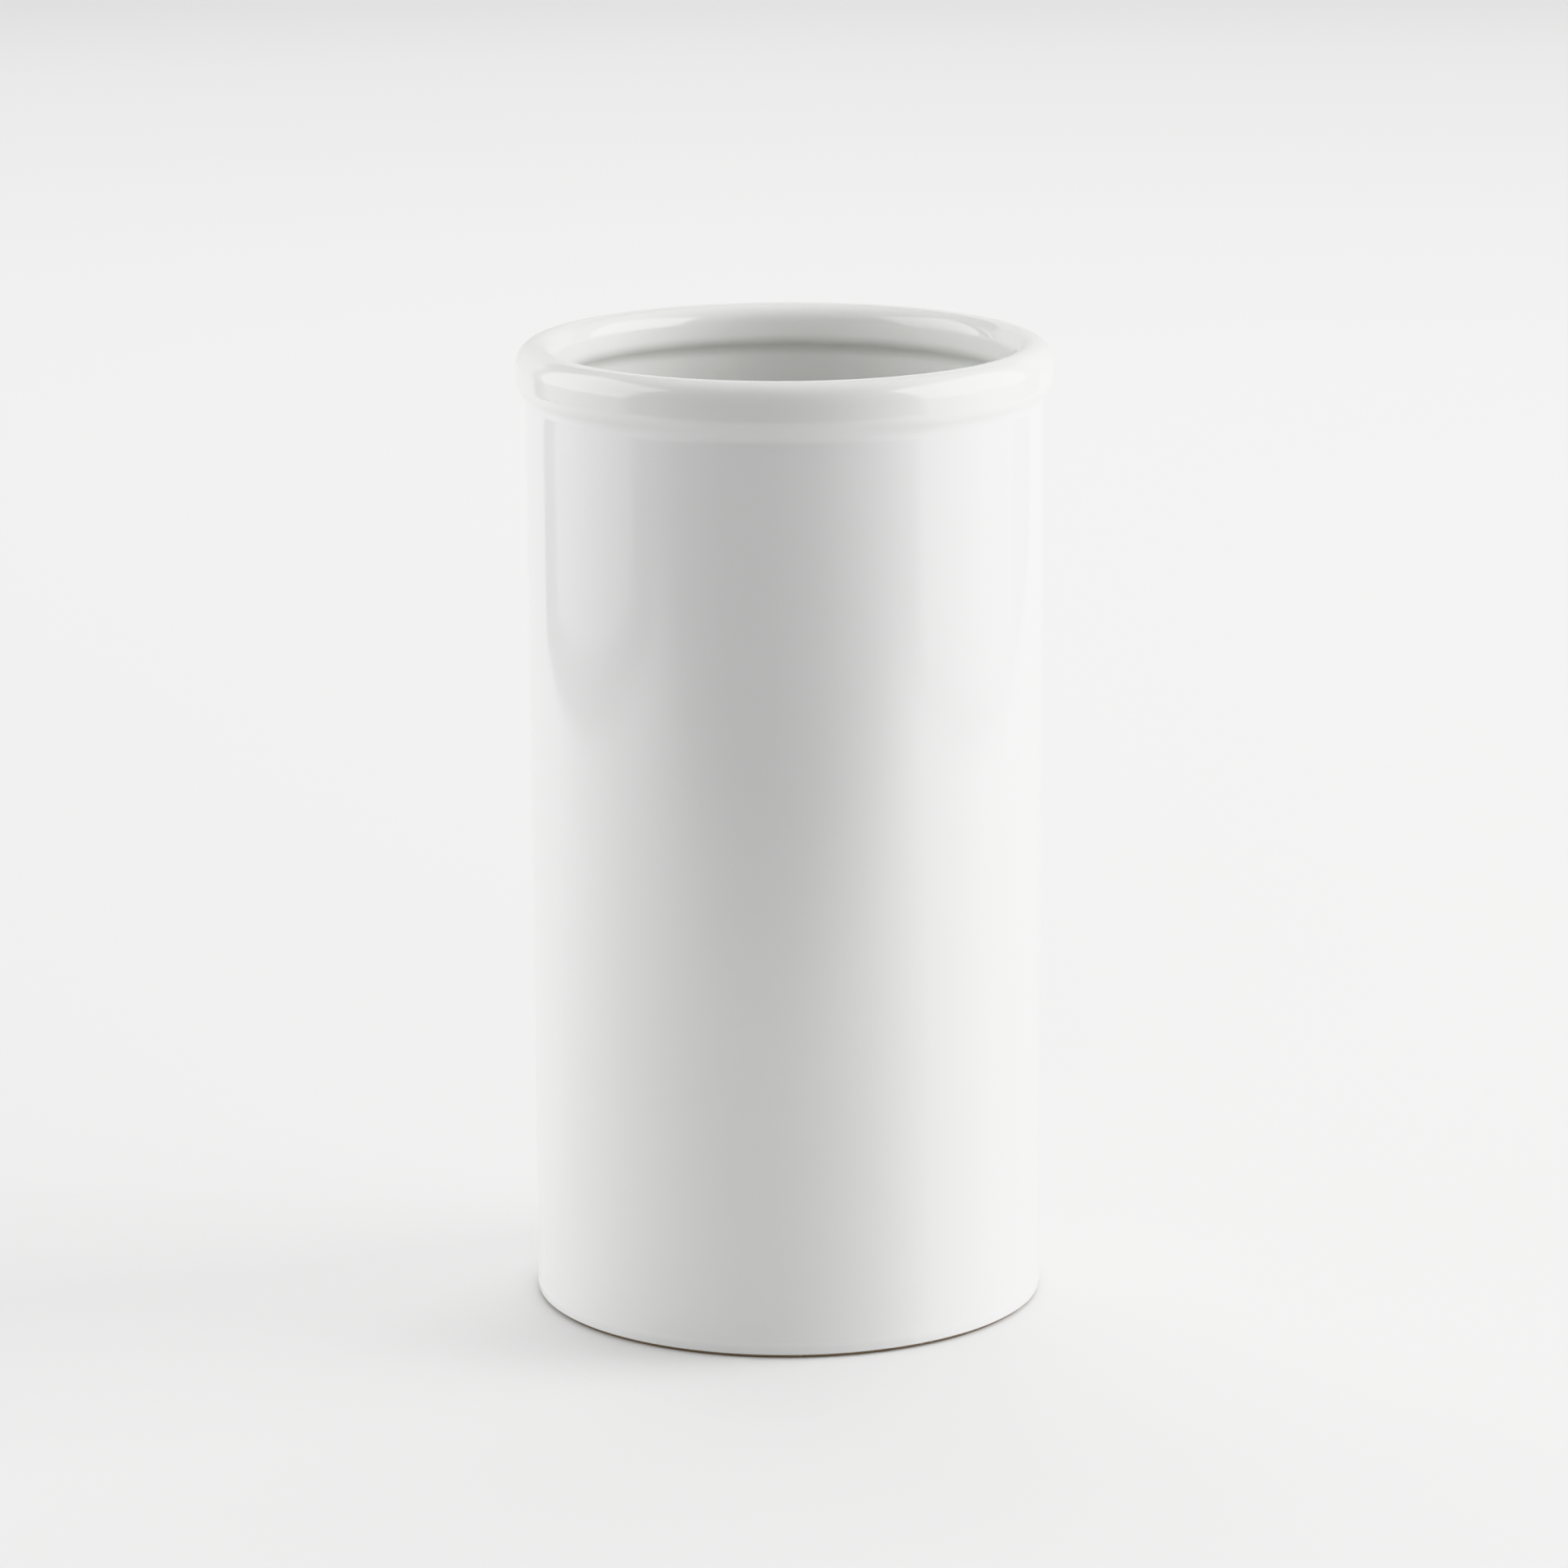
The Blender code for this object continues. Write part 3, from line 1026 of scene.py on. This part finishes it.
@dataclass
class Studio:
    """A pale floor, soft lamps and dark cards.

    Attributes:
        floor_reach: Distance from the axis to the floor's edges.
        floor_colour: The floor's colour.
        floor_thrown: Its colour, far from the vase, for the light that it throws back on it: painted shade,
            dimmer than the floor looks, so that less light comes back from afar.
        near_floor: Distances from the axis where the light thrown back starts to fade and is that low.
        front_fade: Where, towards the camera, the floor as the glaze mirrors it starts to darken and is
            dark: a painted reflection of shade, for the camera sees that floor pale.
        card_colour: Colour of the cards and of the floor's painted dark reflection.
        sky: Strength of the plain sky.
        sky_seen: Its strength where the camera sees it.
    """

    floor_reach: float = 9.0
    floor_colour: Colour = (0.76, 0.76, 0.758)
    floor_thrown: Colour = (0.52, 0.52, 0.519)
    near_floor: tuple[float, float] = (0.0, 0.28)
    front_fade: tuple[float, float] = (-0.25, -0.6)
    card_colour: Colour = (0.12, 0.12, 0.12)
    sky: float = 0.1
    sky_seen: float = 0.86

    def build(self, vase: list[bpy.types.Object]) -> None:
        """Set up the floor, the lamps, the cards and the sky.

        Args:
            vase: The vase's pieces.
        """
        floor = self._floor()
        lit = {Lights.FLOOR_ONLY: [floor], Lights.FLOOR_UNSHADED: [floor], Lights.VASE_ONLY: vase}
        for lamp in LAMPS:
            self._lamp(lamp, lit.get(lamp.lights, []))
        for card in CARDS:
            self._card(card)
        self._sky()
        bpy.context.scene.view_settings.view_transform = "Khronos PBR Neutral"

    def _sky(self) -> None:
        """A plain white sky, which looks as pale as the floor but gives little light."""
        world = bpy.data.worlds.new("sky")
        world.use_nodes = True
        sheet = NodeSheet(world.node_tree)
        seen = sheet.add("ShaderNodeLightPath").outputs["Is Camera Ray"]
        background = world.node_tree.nodes["Background"]
        background.inputs["Color"].default_value = (1.0, 1.0, 1.0, 1.0)
        sheet.feed(background.inputs["Strength"], sheet.span(seen, 0.0, 1.0, self.sky, self.sky_seen))
        bpy.context.scene.world = world

    def _matt(self, name: str, colour: Colour) -> tuple[bpy.types.Material, NodeSheet, bpy.types.Node]:
        """A matt finish for what is not part of the vase.

        Args:
            name: The finish's name.
            colour: Its colour.

        Returns:
            The material, its nodes and its Principled shader.
        """
        material, sheet, shader = blank_material(name)
        shader.inputs["Base Color"].default_value = (*colour, 1.0)
        shader.inputs["Roughness"].default_value = 1.0
        shader.inputs["Specular IOR Level"].default_value = 0.0
        return material, sheet, shader

    def _floor_finish(self) -> bpy.types.Material:
        """The floor's finish: mirrored darker in front, a painted reflection of shade, and throwing less
        light from afar, painted shade.
        """
        material, sheet, shader = self._matt("floor", self.floor_colour)
        ray = sheet.add("ShaderNodeLightPath").outputs
        place = sheet.add("ShaderNodeTexCoord").outputs["Object"]
        towards = sheet.add("ShaderNodeSeparateXYZ", {0: place}).outputs["Y"]
        # Painted reflection of shade: glossy rays see the floor darken in front, where the camera sees it
        # pale
        front = sheet.span(towards, *self.front_fade, 0.0, 1.0)
        mirrored = sheet.sum("MULTIPLY", front, ray["Is Glossy Ray"])
        colour = sheet.mix(mirrored, self.floor_colour, self.card_colour)
        # Painted shade: diffuse rays see the floor dimmer far from the vase, so it throws less light back
        # on it
        distance = sheet.add("ShaderNodeVectorMath", {0: place}, operation="LENGTH").outputs["Value"]
        far = sheet.span(distance, *self.near_floor, 0.0, 1.0)
        thrown = sheet.sum("MULTIPLY", far, ray["Is Diffuse Ray"])
        colour = sheet.mix(thrown, colour, self.floor_thrown)
        sheet.feed(shader.inputs["Base Color"], colour)
        return material

    def _sheet(self, name: str, width: float, depth: float, finish: bpy.types.Material) -> bpy.types.Object:
        """A flat sheet."""
        mesh = bpy.data.meshes.new(name)
        corners = [(x * width / 2.0, y * depth / 2.0, 0.0) for x, y in ((-1, -1), (1, -1), (1, 1), (-1, 1))]
        mesh.from_pydata(corners, [], [(0, 1, 2, 3)])
        mesh.materials.append(finish)
        sheet = bpy.data.objects.new(name, mesh)
        bpy.context.scene.collection.objects.link(sheet)
        return sheet

    def _floor(self) -> bpy.types.Object:
        """The pale floor, wide enough that no view shows its edge."""
        reach = 2.0 * self.floor_reach
        return self._sheet("floor", reach, reach, self._floor_finish())

    def _face(self, thing: bpy.types.Object, at: Place, aim: Place, axis: str) -> None:
        """Place a lamp or a card and turn it to face its aim."""
        thing.location = at
        way = Vector(aim) - Vector(at)
        thing.rotation_euler = way.to_track_quat(axis, "Y").to_euler()

    def _lamp(self, lamp: Lamp, lit: list[bpy.types.Object]) -> None:
        """Hang one lamp.

        Args:
            lamp: The lamp.
            lit: All that it lights, or nothing if it lights whatever it reaches.
        """
        data = bpy.data.lights.new(lamp.name, "AREA")
        data.shape = "RECTANGLE"
        data.size, data.size_y = lamp.size
        data.energy = lamp.power
        thing = bpy.data.objects.new(lamp.name, data)
        bpy.context.scene.collection.objects.link(thing)
        self._face(thing, lamp.at, lamp.aim, "-Z")
        thing.visible_camera = False
        thing.visible_glossy = lamp.lights in (Lights.MIRRORED_ONLY, Lights.VASE_ONLY)
        thing.visible_diffuse = lamp.lights is not Lights.MIRRORED_ONLY
        data.use_shadow = lamp.lights is not Lights.FLOOR_UNSHADED
        if lit:
            thing.light_linking.receiver_collection = bpy.data.collections.new(lamp.name + "_lights")
            for piece in lit:
                thing.light_linking.receiver_collection.objects.link(piece)

    def _card(self, card: Card) -> None:
        """Stand one card."""
        finish, _, _ = self._matt(card.name, self.card_colour)
        sheet = self._sheet(card.name, *card.size, finish)
        self._face(sheet, card.at, card.aim, "Z")
        sheet.visible_camera = False
        sheet.visible_shadow = False
        sheet.visible_diffuse = False


def coats(form: VaseForm) -> list[GlazeCoat]:
    """The three coats of the vase.

    Args:
        form: The vase's sizes.

    Returns:
        The outer coat, the liner and the underside's coat.
    """
    depth = form.coat_depth - form.hair
    return [
        GlazeCoat("outer_glaze_coat", "outer_glaze", "white_glaze", form.outside(),
                  Edge.BUTT, Edge.BEAD, depth),
        GlazeCoat("liner_glaze_coat", "liner_glaze", "liner_glaze", form.inside(),
                  Edge.AXIS, Edge.BUTT, depth),
        GlazeCoat("underside_glaze_coat", "underside_glaze", "underside_glaze", form.underside(),
                  Edge.BEAD, Edge.AXIS, depth),
    ]


def finishes(kiln: Kiln) -> dict[str, bpy.types.Material]:
    """The finishes, by the record's slots.

    Args:
        kiln: The shared shader groups.

    Returns:
        A material for each slot.
    """
    glazes = {
        "white_glaze": GlazeFinish("white_gloss_glaze", (0.80, 0.80, 0.797), (0.79, 0.788, 0.776),
                                   (0.79, 0.794, 0.79)),
        # The liner's colours are paler than the outer glaze's: white glaze with painted light, which
        # brightens the inside
        "liner_glaze": GlazeFinish("liner_gloss_glaze_painted_paler", (0.815, 0.818, 0.80), (0.805, 0.805, 0.78),
                                   (0.805, 0.81, 0.792)),
        "underside_glaze": GlazeFinish("underside_thin_glaze", (0.77, 0.76, 0.73), (0.68, 0.62, 0.53),
                                       (0.76, 0.755, 0.73), gloss=0.12, haze=0.14),
    }
    # The clay's colours are darker than the buff clay itself: painted shade, which deepens the dark line of
    # the gap under the foot
    clay = ClayFinish("buff_clay_with_painted_shade", (0.295, 0.24, 0.18), (0.245, 0.195, 0.145), (0.46, 0.395, 0.31),
                      (0.13, 0.09, 0.06))
    made = {slot: glaze.material(kiln) for slot, glaze in glazes.items()}
    made["buff_clay"] = clay.material(kiln)
    return made


def main() -> None:
    """Build the vase's pieces, dress them and set up the studio."""
    logging.basicConfig(level=logging.INFO, format="%(name)s: %(message)s")
    form = VaseForm.from_frame()
    made = finishes(Kiln(GlazeWaves(), KilnSpecks()))
    wheel = Wheel(TurningTree())
    clay = ClayBody("fired_clay_body", "clay_body", "buff_clay", form)
    pieces = []
    for part in [clay, *coats(form)]:
        piece = part.build(wheel, made[part.slot])
        part.dress(piece)
        pieces.append(piece)
        LOG.info("%s stands for %s: %d faces", piece.name, part.node, len(piece.data.polygons))
    Studio().build(pieces)
    Viewpoint().set_up()


if __name__ == "__main__":
    main()
